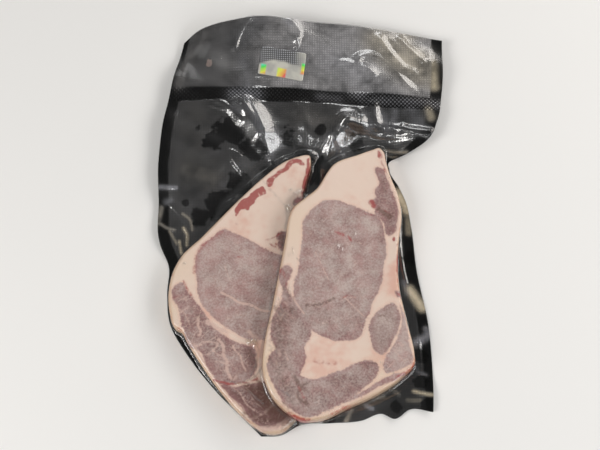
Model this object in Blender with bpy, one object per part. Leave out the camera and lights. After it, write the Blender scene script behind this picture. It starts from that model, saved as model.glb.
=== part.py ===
"""Vacuum pack of two raw ribeye steaks, lying flat on its black back.

The bag is one thin sheet: a black back ply and a clear front ply pressed together, with a header above
its seal band. The two steaks lie on it, the right one partly over the left one, and a small foil label
sticks to the header. Lengths below are millimetres: x runs across the bag, y towards its header, z up.
The origin is under the middle of the bag, on the surface it lies on.
"""

import bpy
import numpy as np

MM = 0.001

# The sheet
SHEET_THICKNESS = 0.6
CLEARANCE = 0.3
SHEET_COLUMNS, SHEET_ROWS = 35, 49

# Edges of the bag. Left and right are (x, y) from the bottom up, top and bottom from left to right.
LEFT_EDGE = [
    (-32, -175), (-68, -140), (-90, -113), (-104, -90), (-108, -64), (-108, -40), (-115, -24),
    (-118, 14), (-119, 60), (-113, 107), (-107, 140), (-103, 160),
]
RIGHT_EDGE = [
    (98, -157), (99, -130), (97, -87), (90, -45), (87, -7), (83, 16), (78, 28), (71, 43),
    (74, 52), (86, 56), (102, 66), (111, 83), (116, 107), (119, 160),
]
TOP_EDGE = [
    (-103, 160), (-91, 168), (-77, 171), (-58, 172), (-38, 173), (-10, 173), (25, 173), (69, 169),
    (89, 166), (119, 160),
]
BOTTOM_EDGE = [
    (-32, -175), (-17, -174), (-4, -167), (20, -165), (44, -163), (59, -158), (69, -162), (80, -155),
    (98, -157),
]

# Outlines of the steaks, clockwise from the tip of the fat that points at the header
LEFT_STEAK = [
    (5, 50), (6, 45), (3, 31), (0, 14), (7, -22), (10, -63), (7, -103), (2, -141), (-8, -166),
    (-17, -173), (-30, -173), (-38, -168), (-62, -144), (-77, -124), (-90, -104), (-94, -97), (-100, -93),
    (-103, -84), (-105, -67), (-103, -52), (-97, -38), (-81, -21), (-50, 13), (-34, 29), (-12, 46), (-4, 49),
]
RIGHT_STEAK = [
    (62, 56), (65, 53), (67, 44), (70, 32), (76, 14), (78, -2), (75, -25), (74, -60), (79, -89),
    (84, -115), (84, -122), (76, -131), (57, -144), (33, -155), (10, -165), (-2, -166), (-10, -162),
    (-23, -150), (-31, -127), (-30, -112), (-24, -80), (-20, -58), (-14, -24), (-12, -10), (-10, -3),
    (2, 9), (10, 16), (19, 31), (23, 37), (45, 49), (56, 54),
]
LEFT_CENTRE = (-45, -60)
RIGHT_CENTRE = (28, -60)
AROUND_STEAK = 110
STEPS_PER_SPAN = 24

# Thickness of the meat. The steaks meet on one sloping plane, which starts at SEAM_HEIGHT along the
# right steak's left edge and falls away under it.
LEFT_THICKNESS = 17.0
RIGHT_THICKNESS = 17.0
SEAM_START = (-31.0, -124.0)
SEAM_END = (-11.0, -5.0)
SEAM_HEIGHT = 17.0
SEAM_FALL = 0.2
RIGHT_LIFT = 12.0
RIGHT_LIFT_REACH = 75.0
SAG_FROM, SAG_TO = 9.0, 26.0
ROUND_TOP = 3.2
ROUND_BOTTOM = 1.6

# Rise of the sheet off the table, clear of the meat
FLAT_MARGIN = 8.0
RISE_REACH = 34.0
MARGIN_RISE = 3.0
HEADER_RISE = 6.0
HEADER_FROM, HEADER_TO = -20.0, 70.0
# Each swell is its centre, its half widths and its height. The last is the drooping corner.
SWELLS = [
    ((-38, 172), (58, 44), 17.0),
    ((60, 128), (34, 26), 4.0),
    ((-108, 168), (24, 32), -11.0),
]
# Each fold is its two ends, its half width and its height.
FOLDS = [
    ((-48, 96), (-26, 50), 9, 5.0),
    ((-4, 92), (8, 62), 8, 3.5),
    ((22, 60), (36, 80), 9, 5.0),
    ((34, 82), (104, 72), 5, 4.0),
    ((58, 98), (62, 64), 5, 2.5),
]
EDGE_WAVE_HEIGHT = 1.3
EDGE_WAVE_LENGTH = 47.0

# The foil label
LABEL_CENTRE = (-18, 133)
LABEL_WIDTH, LABEL_HEIGHT = 38.0, 24.0
LABEL_TURN = -8.0
LABEL_THICKNESS = 0.3
LABEL_CLEARANCE = 0.6
LABEL_COLUMNS, LABEL_ROWS = 9, 7


def smoothstep(low, high, value):
    """0 below low, 1 above high, and a smooth ramp between."""
    t = np.clip((value - low) / (high - low), 0, 1)
    return t * t * (3 - 2 * t)


def hermite(p0, p1, m0, m1, t):
    """The cubic from p0 to p1 with slopes m0 and m1."""
    return (
        (2 * t**3 - 3 * t**2 + 1) * p0
        + (t**3 - 2 * t**2 + t) * m0
        + (3 * t**2 - 2 * t**3) * p1
        + (t**3 - t**2) * m1
    )


def closed_curve(points, count):
    """count points evenly spread along a smooth closed curve through the given ones.

    The slope at a point leans to its nearer neighbour, so that close points make a tight corner.
    """
    p = np.array(points, float)
    to_next = np.roll(p, -1, 0) - p
    span = np.linalg.norm(to_next, axis=1, keepdims=True)
    before, span_before = np.roll(to_next, 1, 0), np.roll(span, 1, 0)
    slope = (to_next / span * span_before + before / span_before * span) / (span + span_before)
    t = np.arange(STEPS_PER_SPAN)[:, None] / STEPS_PER_SPAN
    fine = np.concatenate(
        [hermite(p[i - 1], p[i], slope[i - 1] * span[i - 1], slope[i] * span[i - 1], t) for i in range(len(p))]
    )
    ring = np.concatenate([fine, fine[:1]])
    along = np.concatenate([[0], np.cumsum(np.linalg.norm(np.diff(ring, axis=0), axis=1))])
    wanted = np.arange(count) / count * along[-1]
    return np.stack([np.interp(wanted, along, ring[:, k]) for k in (0, 1)], axis=1)


def value_along(knots, values, at):
    """A smooth curve through (knot, value) pairs, read at the given places."""
    knots, values = np.array(knots, float), np.array(values, float)
    slope = np.gradient(values, knots)
    i = np.clip(np.searchsorted(knots, at, side="right") - 1, 0, len(knots) - 2)
    span = knots[i + 1] - knots[i]
    t = np.clip((at - knots[i]) / span, 0, 1)
    return hermite(values[i], values[i + 1], slope[i] * span, slope[i + 1] * span, t)


def distance_outside(x, y, outline):
    """Distance from the outline, negative inside it."""
    shape = np.shape(x)
    p = np.stack([np.ravel(x), np.ravel(y)], axis=1)
    nearest = np.full(len(p), np.inf)
    inside = np.zeros(len(p), bool)
    for a, b in zip(outline, np.roll(outline, -1, 0)):
        edge = b - a
        share = np.clip(((p - a) @ edge) / (edge @ edge), 0, 1)
        nearest = np.minimum(nearest, np.linalg.norm(p - a - share[:, None] * edge, axis=1))
        crosses = (a[1] > p[:, 1]) != (b[1] > p[:, 1])
        rise = edge[1] if edge[1] else 1.0
        inside ^= crosses & (p[:, 0] < a[0] + (p[:, 1] - a[1]) * edge[0] / rise)
    return np.where(inside, -nearest, nearest).reshape(shape)


def seam_distance(x, y):
    """Distance to the right of the line where the right steak starts to cover the left one."""
    start, end = np.array(SEAM_START), np.array(SEAM_END)
    along = (end - start) / np.linalg.norm(end - start)
    return (x - start[0]) * along[1] - (y - start[1]) * along[0]


def seam_plane(x, y):
    return SEAM_HEIGHT - SEAM_FALL * seam_distance(x, y)


LEFT_OUTLINE = closed_curve(LEFT_STEAK, AROUND_STEAK)
RIGHT_OUTLINE = closed_curve(RIGHT_STEAK, AROUND_STEAK)
TABLE_GAP = SHEET_THICKNESS + CLEARANCE


def left_bottom(x, y):
    return np.full(np.shape(x), TABLE_GAP)


def left_top(x, y):
    """Flat, and pressed down to the sloping plane where the right steak lies on it."""
    return np.minimum(LEFT_THICKNESS, seam_plane(x, y))


def right_bottom(x, y):
    """On the sloping plane over the left steak, then down to the sheet beside it."""
    beside = distance_outside(x, y, LEFT_OUTLINE)
    over = np.maximum(seam_plane(x, y) + CLEARANCE, TABLE_GAP)
    return over + (TABLE_GAP - over) * smoothstep(SAG_FROM, SAG_TO, beside)


def right_top(x, y):
    lift = 1 - smoothstep(0, RIGHT_LIFT_REACH, seam_distance(x, y))
    return RIGHT_THICKNESS + RIGHT_LIFT * lift


def fold(x, y, start, end, half_width, height):
    """A rounded ridge along a line, fading at both ends."""
    a, b = np.array(start, float), np.array(end, float)
    along = b - a
    length = np.linalg.norm(along)
    share = np.clip(((x - a[0]) * along[0] + (y - a[1]) * along[1]) / length**2, 0, 1)
    away = np.hypot(x - a[0] - share * along[0], y - a[1] - share * along[1])
    return height * np.exp(-((away / half_width) ** 2))


def sheet_height(x, y):
    """Underside of the sheet: flat on the table round the meat, rising and folded towards the header."""
    beside = np.minimum(distance_outside(x, y, LEFT_OUTLINE), distance_outside(x, y, RIGHT_OUTLINE))
    clear_of_meat = smoothstep(FLAT_MARGIN, RISE_REACH, beside)
    rise = MARGIN_RISE + HEADER_RISE * smoothstep(HEADER_FROM, HEADER_TO, y)
    for (cx, cy), (wx, wy), height in SWELLS:
        rise = rise + height * np.exp(-(((x - cx) / wx) ** 2) - ((y - cy) / wy) ** 2)
    for start, end, half_width, height in FOLDS:
        rise = rise + fold(x, y, start, end, half_width, height)
    wave = EDGE_WAVE_HEIGHT * np.sin(2 * np.pi * (y + 0.6 * x) / EDGE_WAVE_LENGTH)
    return clear_of_meat * np.maximum(rise + wave, 0)


def edge_point(edge, share, axis):
    """The point at that share of an edge's span along the axis: 0 is x, 1 is y."""
    edge = np.array(edge, float)
    at = edge[0, axis] + share * (edge[-1, axis] - edge[0, axis])
    other = value_along(edge[:, axis], edge[:, 1 - axis], at)
    return (at, other) if axis == 0 else (other, at)


def sheet_places():
    """x and y of the sheet's grid: a patch blended between its four curved edges."""
    u, v = np.meshgrid(np.linspace(0, 1, SHEET_COLUMNS), np.linspace(0, 1, SHEET_ROWS))
    left, right = edge_point(LEFT_EDGE, v, 1), edge_point(RIGHT_EDGE, v, 1)
    bottom, top = edge_point(BOTTOM_EDGE, u, 0), edge_point(TOP_EDGE, u, 0)
    corners = [np.array(p, float) for p in (LEFT_EDGE[0], RIGHT_EDGE[0], LEFT_EDGE[-1], RIGHT_EDGE[-1])]
    places = []
    for k in (0, 1):
        straight = (1 - v) * ((1 - u) * corners[0][k] + u * corners[1][k])
        straight = straight + v * ((1 - u) * corners[2][k] + u * corners[3][k])
        places.append(
            (1 - u) * left[k] + u * right[k] + (1 - v) * bottom[k] + v * top[k] - straight
        )
    return places


def make_object(name, points, faces, material):
    mesh = bpy.data.meshes.new(name)
    mesh.from_pydata((points * MM).tolist(), [], faces)
    mesh.materials.append(material)
    made = bpy.data.objects.new(name, mesh)
    bpy.context.scene.collection.objects.link(made)
    return made


def make_slab(name, x, y, low, thickness, material):
    """A closed slab on a grid, with its two faces split into triangles alike."""
    rows, columns = x.shape
    under = np.stack([x, y, low], axis=-1).reshape(-1, 3)
    over = under + [0, 0, thickness]
    at = np.arange(rows * columns).reshape(rows, columns)
    a, b, c, d = at[:-1, :-1].ravel(), at[:-1, 1:].ravel(), at[1:, 1:].ravel(), at[1:, :-1].ravel()
    top = np.concatenate([np.stack([a, b, c], 1), np.stack([a, c, d], 1)]) + rows * columns
    bottom = np.concatenate([np.stack([a, c, b], 1), np.stack([a, d, c], 1)])
    rim = np.concatenate([at[0, :-1], at[:-1, -1], at[-1, :0:-1], at[:0:-1, 0]])
    after = np.roll(rim, -1)
    walls = np.concatenate(
        [np.stack([rim, after, after + rows * columns], 1),
         np.stack([rim, after + rows * columns, rim + rows * columns], 1)]
    )
    faces = np.concatenate([top, bottom, walls]).tolist()
    return make_object(name, np.concatenate([under, over]), faces, material)


def make_steak(name, outline, centre, bottom, top, material):
    """Rings round the centre: in along the underside, up the rounded wall, and back in over the top.

    Each ring is an inset from the outline, a share of the way in to the centre, and its height as a share
    of the meat's thickness with an offset in millimetres.
    """
    rings = [
        (0, 0.75, 0, 0), (0, 0.5, 0, 0), (0, 0.25, 0, 0), (0, 0.1, 0, 0),
        (ROUND_BOTTOM, 0, 0, 0), (0.4, 0, 0, ROUND_BOTTOM * 0.6), (0, 0, 0.35, 0), (0, 0, 0.65, 0),
        (0.5, 0, 1, -ROUND_TOP * 0.8), (ROUND_TOP * 0.4, 0, 1, -ROUND_TOP * 0.3), (ROUND_TOP, 0, 1, 0),
        (0, 0.12, 1, 0), (0, 0.3, 1, 0), (0, 0.5, 1, 0), (0, 0.75, 1, 0),
    ]
    centre = np.array(centre, float)
    out = outline - centre
    reach = np.linalg.norm(out, axis=1, keepdims=True)

    def lift(places, share, offset):
        low, high = bottom(places[:, 0], places[:, 1]), top(places[:, 0], places[:, 1])
        return np.column_stack([places, low + share * (high - low) + offset])

    points = [lift(centre[None], 0, 0)]
    for inset, inward, share, offset in rings:
        places = centre + out * (1 - inset / reach) * (1 - inward)
        points.append(lift(places, share, offset))
    points.append(lift(centre[None], 1, 0))
    count = len(outline)
    here = np.arange(count)
    after = (here + 1) % count
    last = 1 + len(rings) * count
    faces = np.stack([np.zeros(count, int), 1 + here, 1 + after], 1).tolist()
    for ring in range(len(rings) - 1):
        near, far = 1 + ring * count, 1 + (ring + 1) * count
        faces += np.stack([near + here, far + here, far + after, near + after], 1).tolist()
    faces += np.stack([np.full(count, last), last - count + after, last - count + here], 1).tolist()
    return make_object(name, np.concatenate(points), faces, material)


def make_material(name, colour, roughness, metallic=0.0):
    made = bpy.data.materials.new(name)
    made.use_nodes = True
    shader = made.node_tree.nodes["Principled BSDF"]
    shader.inputs["Base Color"].default_value = (*colour, 1)
    shader.inputs["Roughness"].default_value = roughness
    shader.inputs["Metallic"].default_value = metallic
    return made


def make_pouch():
    film = make_material("black_film", (0.012, 0.012, 0.013), 0.3)
    x, y = sheet_places()
    return make_slab("pouch", x, y, sheet_height(x, y), SHEET_THICKNESS, film)


def make_label():
    """A foil sticker that follows the header's swell."""
    foil = make_material("label_foil", (0.55, 0.56, 0.57), 0.25, 1.0)
    across, up = np.meshgrid(
        np.linspace(-LABEL_WIDTH / 2, LABEL_WIDTH / 2, LABEL_COLUMNS),
        np.linspace(-LABEL_HEIGHT / 2, LABEL_HEIGHT / 2, LABEL_ROWS),
    )
    turn = np.radians(LABEL_TURN)
    x = LABEL_CENTRE[0] + across * np.cos(turn) - up * np.sin(turn)
    y = LABEL_CENTRE[1] + across * np.sin(turn) + up * np.cos(turn)
    low = sheet_height(x, y) + SHEET_THICKNESS + LABEL_CLEARANCE
    return make_slab("label", x, y, low, LABEL_THICKNESS, foil)


def main():
    for old in list(bpy.data.objects):
        bpy.data.objects.remove(old, do_unlink=True)
    meat = make_material("raw_beef", (0.36, 0.26, 0.24), 0.4)
    make_pouch()
    make_steak("steak_left", LEFT_OUTLINE, LEFT_CENTRE, left_bottom, left_top, meat)
    make_steak("steak_right", RIGHT_OUTLINE, RIGHT_CENTRE, right_bottom, right_top, meat)
    make_label()


main()
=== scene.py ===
from functools import reduce
import bpy
import numpy as np
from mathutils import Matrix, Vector


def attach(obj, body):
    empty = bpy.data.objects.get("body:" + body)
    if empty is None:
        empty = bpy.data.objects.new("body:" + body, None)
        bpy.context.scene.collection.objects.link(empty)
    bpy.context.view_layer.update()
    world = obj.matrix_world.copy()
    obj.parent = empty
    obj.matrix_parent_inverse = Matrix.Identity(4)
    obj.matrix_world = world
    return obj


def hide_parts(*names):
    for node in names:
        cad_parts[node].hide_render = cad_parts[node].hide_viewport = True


# Two raw ribeye steaks in a vacuum bag with a black back and a clear front.
# Shapes are worked out in millimetres, x across the bag, y towards its header, z up from the table.

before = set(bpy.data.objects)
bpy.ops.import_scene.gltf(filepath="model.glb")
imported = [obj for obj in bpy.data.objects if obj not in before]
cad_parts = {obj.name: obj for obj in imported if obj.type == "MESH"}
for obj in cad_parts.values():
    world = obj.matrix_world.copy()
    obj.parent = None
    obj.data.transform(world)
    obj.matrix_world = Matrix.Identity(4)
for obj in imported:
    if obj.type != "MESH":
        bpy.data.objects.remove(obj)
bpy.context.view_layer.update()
mm = 0.001


# 0 below low, 1 above high, with the smooth ramp 3t^2 - 2t^3 between
def smoothStep(low, high, value):
    t = np.clip((value - low) / (high - low), 0, 1)
    return t * t * (3 - 2 * t)


def between(start, end, share):
    return start + (end - start) * share


# 1 in the middle, falling off to the sides as exp(-(distance / width)^2)
def bell(distance, width=1):
    return np.exp(-((distance / width) ** 2))


def lengths(vectors):
    return np.linalg.norm(vectors, axis=1, keepdims=True)


# a cubic from a to b that leaves with slope m and arrives with slope n
def hermite(a, b, m, n, t):
    return between(a, b, t * t * (3 - 2 * t)) + m * t * (1 - t) ** 2 - n * t * t * (1 - t)


# a smooth open line through the given points, each span cut in eight
def openCurve(points):
    p = np.array(points, float)
    slope = np.gradient(p, axis=0) if len(p) > 2 else np.diff(p, axis=0).repeat(2, axis=0)
    t = np.linspace(0, 1, 8, endpoint=False)[:, None]
    return np.concatenate([hermite(*p[i:i + 2], *slope[i:i + 2], t) for i in range(len(p) - 1)] + [p[-1:]])


# points spread evenly along the smooth closed curve through the given ones; slopes lean to the nearer one
def closedCurve(points, count):
    p = np.array(points, float)
    after, before = np.roll(p, -1, 0) - p, p - np.roll(p, 1, 0)
    span, spanBefore = lengths(after), lengths(before)
    slope = (after / span * spanBefore + before / spanBefore * span) / (span + spanBefore)
    t = np.linspace(0, 1, 24, endpoint=False)[:, None]
    ring = np.concatenate([hermite(p[i - 1], p[i], slope[i - 1] * spanBefore[i], slope[i] * spanBefore[i], t)
                           for i in range(len(p))] + [p[-1:]])
    along = np.append(0, np.cumsum(lengths(np.diff(ring, axis=0))))
    wanted = np.arange(count) / count * along[-1]
    return np.stack([np.interp(wanted, along, ring[:, k]) for k in (0, 1)], axis=1)


# a smooth curve through (knot, value) pairs, read at the given places
def valueAlong(knots, values, at):
    slope = np.gradient(values, knots)
    i = np.clip(np.searchsorted(knots, at, side="right") - 1, 0, len(knots) - 2)
    span = knots[i + 1] - knots[i]
    t = np.clip((at - knots[i]) / span, 0, 1)
    return hermite(values[i], values[i + 1], slope[i] * span, slope[i + 1] * span, t)


# for each straight part of a line: each place's distance, share along the part, and side, 1 to the left
def partDistances(x, y, line):
    for a, b in zip(line[:-1], line[1:]):
        ex, ey = b - a
        dx, dy = x - a[0], y - a[1]
        share = np.clip((dx * ex + dy * ey) / (ex * ex + ey * ey + 1e-9), 0, 1)
        yield np.hypot(dx - share * ex, dy - share * ey), share, ex * dy - ey * dx


def lineDistance(x, y, line):
    return reduce(np.minimum, (away for away, share, side in partDistances(x, y, line)))


# distance outside a closed outline, negative inside: nearest edge, with its sign from counted crossings
def distanceOutside(x, y, outline):
    inside = np.zeros(np.shape(x), bool)
    for a, b in zip(outline, np.roll(outline, -1, 0)):
        rise = b[1] - a[1]
        if rise:
            inside ^= ((a[1] > y) != (b[1] > y)) & (x < a[0] + (y - a[1]) * (b[0] - a[0]) / rise)
    return lineDistance(x, y, np.concatenate([outline, outline[:1]])) * np.where(inside, -1, 1)


# smooth random hills from -1 to 1: a lattice of random heights, eased between its corners
def hills(x, y, size, seed):
    lattice = np.random.default_rng(seed).uniform(-1, 1, (64, 64))
    gx, gy = np.asarray(x) / size + 1000, np.asarray(y) / size + 1000
    ix, iy = np.floor(gx).astype(int), np.floor(gy).astype(int)
    tx, ty = smoothStep(0, 1, gx - ix), smoothStep(0, 1, gy - iy)
    rows = [between(lattice[ix % 64, row % 64], lattice[(ix + 1) % 64, row % 64], tx) for row in (iy, iy + 1)]
    return between(*rows, ty)


bag = {
    "leftEdge": [
        (-32, -175), (-68, -140), (-90, -113), (-104, -90), (-108, -64), (-108, -40), (-115, -24),
        (-118, 14), (-119, 60), (-113, 107), (-107, 140), (-103, 160)],
    "rightEdge": [
        (98, -157), (99, -130), (97, -87), (90, -45), (87, -7), (83, 16), (78, 28), (71, 43), (74, 52),
        (86, 56), (102, 66), (111, 83), (116, 107), (119, 160)],
    "topEdge": [
        (-103, 160), (-91, 168), (-77, 171), (-58, 172), (-38, 173), (-10, 173), (25, 173), (69, 169),
        (89, 166), (119, 160)],
    "bottomEdge": [
        (-32, -175), (-17, -174), (-4, -167), (20, -165), (44, -163), (59, -158), (69, -162), (80, -155),
        (98, -157)],
    "flatMargin": 8, "riseReach": 34, "marginRise": 3, "headerRise": 6, "headerFrom": -20, "headerTo": 70,
    # each swell is its centre, its half widths and its height
    "swells": [((-38, 172), (58, 44), 17), ((60, 128), (34, 26), 4), ((-108, 168), (24, 32), -11)],
    # each fold is its half width, its height and its two ends
    "folds": [(9, 5, (-48, 96), (-26, 50)), (8, 3.5, (-4, 92), (8, 62)), (9, 5, (22, 60), (36, 80)),
              (5, 4, (34, 82), (104, 72)), (5, 2.5, (58, 98), (62, 64))],
    "edgeWave": 1.3, "edgeWaveLength": 47,
    "inset": 0.9995, "highest": 28.8,  # keep the edges and the top just inside the solid's
}

meat = {
    "tableGap": 0.9, "thickness": 17,
    "seamStart": (-31, -124), "seamEnd": (-11, -5),  # where the right steak starts to cover the left one
    "seamHeight": 17, "seamFall": 0.2, "clearance": 0.3,
    "lift": 12, "liftReach": 75, "sagFrom": 9, "sagTo": 26,
    "underFilm": 0.55,  # how far the meat stays below its solid's top, to leave room for the film
}

leftOutline = closedCurve([
    (5, 50), (6, 45), (3, 31), (0, 14), (7, -22), (10, -63), (7, -103), (2, -141), (-8, -166), (-17, -173),
    (-30, -173), (-38, -168), (-62, -144), (-77, -124), (-90, -104), (-94, -97), (-100, -93), (-103, -84),
    (-105, -67), (-103, -52), (-97, -38), (-81, -21), (-50, 13), (-34, 29), (-12, 46), (-4, 49),
], 480)
rightOutline = closedCurve([
    (62, 56), (65, 53), (67, 44), (70, 32), (76, 14), (78, -2), (75, -25), (74, -60), (79, -89), (84, -115),
    (84, -122), (76, -131), (57, -144), (33, -155), (10, -165), (-2, -166), (-10, -162), (-23, -150),
    (-31, -127), (-30, -112), (-24, -80), (-20, -58), (-14, -24), (-12, -10), (-10, -3), (2, 9), (10, 16),
    (19, 31), (23, 37), (45, 49), (56, 54),
], 480)
coarseLeft, coarseRight = leftOutline[::4], rightOutline[::4]


# distance to the right of the line where the right steak starts to cover the left one
def seamDistance(x, y):
    start, end = np.array(meat["seamStart"], float), np.array(meat["seamEnd"], float)
    along = (end - start) / np.linalg.norm(end - start)
    return (x - start[0]) * along[1] - (y - start[1]) * along[0]


# the sloping plane on which the steaks meet
def seamPlane(x, y):
    return meat["seamHeight"] - meat["seamFall"] * seamDistance(x, y)


def leftBottom(x, y):
    return np.full(np.shape(x), meat["tableGap"])


def leftTop(x, y):
    return np.minimum(meat["thickness"], seamPlane(x, y))


# on the sloping plane over the left steak, then down to the sheet beside it
def rightBottom(x, y):
    over = np.maximum(seamPlane(x, y) + meat["clearance"], meat["tableGap"])
    beside = distanceOutside(x, y, coarseLeft)
    return between(over, meat["tableGap"], smoothStep(meat["sagFrom"], meat["sagTo"], beside))


def rightTop(x, y):
    return meat["thickness"] + meat["lift"] * (1 - smoothStep(0, meat["liftReach"], seamDistance(x, y)))


def besideMeat(x, y):
    return np.minimum(distanceOutside(x, y, coarseLeft), distanceOutside(x, y, coarseRight))


# underside of the bag: flat on the table round the meat, with bell-shaped swells and folds towards the header
def sheetHeight(x, y, beside):
    rise = bag["marginRise"] + bag["headerRise"] * smoothStep(bag["headerFrom"], bag["headerTo"], y)
    for (cx, cy), (wx, wy), height in bag["swells"]:
        rise = rise + height * bell(np.hypot((x - cx) / wx, (y - cy) / wy))
    for halfWidth, height, *ends in bag["folds"]:
        rise = rise + height * bell(lineDistance(x, y, np.array(ends)), halfWidth)
    wave = bag["edgeWave"] * np.sin(2 * np.pi * (y + 0.6 * x) / bag["edgeWaveLength"])
    return smoothStep(bag["flatMargin"], bag["riseReach"], beside) * np.maximum(rise + wave, 0)


# the bag's grid: a patch blended between its four curved edges, across by u and up by v, both 0 to 1
def sheetPlaces(u, v):
    sides = ("left", "right", "bottom", "top")
    left, right, bottom, top = (np.array(bag[side + "Edge"], float) for side in sides)

    def edgePoint(edge, share, axis):
        at = between(edge[0, axis], edge[-1, axis], share)
        return (at, valueAlong(*edge.T, at)) if axis == 0 else (valueAlong(*edge.T[::-1], at), at)

    ends = [edgePoint(left, v, 1), edgePoint(right, v, 1), edgePoint(bottom, u, 0), edgePoint(top, u, 0)]
    places = []
    for k in (0, 1):
        straight = between(between(left[0, k], right[0, k], u), between(left[-1, k], right[-1, k], u), v)
        bent = between(ends[0][k], ends[1][k], u) + between(ends[2][k], ends[3][k], v)
        places.append(bag["inset"] * (bent - straight))
    return places


def makePiece(name, points, faces, material, values=None):
    mesh = bpy.data.meshes.new(name)
    mesh.from_pydata(points * mm, [], faces, shade_flat=False)
    mesh.validate()
    for key, value in (values or {}).items():
        layer = mesh.attributes.new(key, "FLOAT", "POINT")
        layer.data.foreach_set("value", np.ravel(value).astype(np.float32))
    mesh.materials.append(material)
    piece = bpy.data.objects.new(name, mesh)
    bpy.context.scene.collection.objects.link(piece)
    return piece


# quads of a rows by columns grid, facing up where x grows along a row and y up the rows
def gridFaces(rows, columns, closed=False):
    at = np.arange(rows * columns).reshape(rows, columns)
    if closed:
        at = np.concatenate([at, at[:, :1]], axis=1)
    return np.stack([at[:-1, :-1], at[:-1, 1:], at[1:, 1:], at[1:, :-1]], axis=-1).reshape(-1, 4)


# triangles between closed rings of points, with a fan to a hub inside the first ring and, with two, the last
def ringFaces(rings, count, hubs):
    quads = gridFaces(rings, count, closed=True)
    here, after = np.arange(count), np.roll(np.arange(count), -1)
    hub, last = np.full(count, rings * count), (rings - 1) * count
    fans = [np.stack([hub, here, after], 1), np.stack([hub + 1, last + after, last + here], 1)]
    return np.concatenate([quads[:, [0, 2, 1]], quads[:, [0, 3, 2]], *fans[:hubs]])


# both faces of a thin sheet on a grid with a rim between them: low and high are heights at each grid place
def makeSlab(name, x, y, low, high, material, values):
    top = gridFaces(*x.shape)
    at = np.arange(x.size).reshape(x.shape)
    rim = np.concatenate([at[0, :-1], at[:-1, -1], at[-1, :0:-1], at[:0:-1, 0]])
    after = np.roll(rim, -1)
    walls = np.stack([rim, after, after + x.size, rim + x.size], 1)
    faces = np.concatenate([top + x.size, top[:, ::-1], walls])
    points = np.concatenate([np.stack([x, y, z], -1).reshape(-1, 3) for z in (low, high)])
    both = {key: np.tile(np.ravel(value), 2) for key, value in values.items()}
    if "spot" in both:
        both["spot"][:x.size] = 0  # the pale spot is on the upper face only
    return makePiece(name, points, faces, material, both)


# gives a sheet its wall; its free edges are marked sharp first, so that the shading doesn't bend round them
def addSolidify(piece, thickness):
    mesh = piece.data
    usedBy = np.empty(len(mesh.loops), np.int32)
    mesh.loops.foreach_get("edge_index", usedBy)
    free = np.bincount(usedBy, minlength=len(mesh.edges)) == 1
    mesh.attributes.new("sharp_edge", "BOOLEAN", "EDGE").data.foreach_set("value", free)
    wall = piece.modifiers.new("wall", "SOLIDIFY")
    wall.thickness = thickness * mm
    wall.offset = -1
    return piece


# sRGB hex to the linear colour that shaders take
def hexColour(text):
    s = np.array([int(text[i:i + 2], 16) for i in (1, 3, 5)]) / 255
    linear = np.where(s <= 0.04045, s / 12.92, ((s + 0.055) / 1.055) ** 2.4)
    return (*(float(c) for c in linear), 1.0)


# starts a material; addNode adds to its tree until the next one starts
def newMaterial(name):
    global tree
    material = bpy.data.materials.new(name)
    material.use_nodes = True
    tree = material.node_tree
    tree.nodes.clear()
    return material


# adds a node and gives one of its outputs: inputs are a value or another node's output for each socket
def addNode(kind, inputs=None, take=0, **settings):
    node = tree.nodes.new("ShaderNode" + kind)
    for key, value in settings.items():
        setattr(node, key, value)
    for key, value in (inputs or {}).items():
        if isinstance(value, bpy.types.NodeSocket):
            tree.links.new(value, node.inputs[key])
        else:
            node.inputs[key].default_value = value
    return node.outputs[take] if len(node.outputs) else node


def attribute(name):
    return addNode("Attribute", take="Fac", attribute_name=name)


def maths(operation, *values):
    return addNode("Math", dict(enumerate(values)), operation=operation)


def product(*values):
    return reduce(lambda a, b: maths("MULTIPLY", a, b), values)


# the sum of its values; a (value, weight) pair counts as their product
def total(*values):
    parts = [product(*value) if isinstance(value, tuple) else value for value in values]
    return reduce(lambda a, b: maths("ADD", a, b), parts)


# a share held between 0 and a largest value
def clamped(value, most):
    return maths("MINIMUM", maths("MAXIMUM", value, 0), most)


# value moved from one range to another, smoothly
def ramp(value, low, high, toLow=0, toHigh=1):
    ends = {"From Min": low, "From Max": high, "To Min": toLow, "To Max": toHigh}
    return addNode("MapRange", {"Value": value, **ends}, interpolation_type="SMOOTHSTEP")


# colours laid one over another: each layer is its share and its colour
def layered(colour, *layers):
    for share, above in layers:
        colour = addNode("Mix", {0: share, 6: colour, 7: above}, take=2, data_type="RGBA")
    return colour


# soft random blotches of a real size in millimetres, round zero, roughly -0.3 to 0.3
def blotches(place, size, detail, seed):
    moved = addNode("Mapping", {"Vector": place, "Location": (seed, seed * 0.7, seed * 0.3)})
    return total(addNode("TexNoise", {"Vector": moved, "Scale": 1 / (size * mm), "Detail": detail}), -0.5)


# two waves across each other, sines or cosines, with a real pitch in millimetres, turned by an angle
def crossWaves(operation, place, pitch, angle=0):
    turned = addNode("Mapping", {"Vector": place, "Rotation": (0, 0, angle)})
    axes = [addNode("SeparateXYZ", {"Vector": turned}, take=k) for k in (0, 1)]
    return [maths(operation, product(axis, 2 * np.pi / (pitch * mm))) for axis in axes]


# a grid of soft dots from 0 to 1: (1 + cos x)(1 + cos y) / 4
def dotGrid(place, pitch, angle=0):
    return product(*[total((wave, 0.5), 0.5) for wave in crossWaves("COSINE", place, pitch, angle)])


def bumped(height, strength, distance):
    return addNode("Bump", {"Height": height, "Strength": strength, "Distance": distance * mm})


# ends a material with its shader, an ordinary surface by default
def finished(material, kind="BsdfPrincipled", **inputs):
    shader = addNode(kind, {key.replace("_", " "): value for key, value in inputs.items()})
    addNode("OutputMaterial", {"Surface": shader})
    return material


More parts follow.
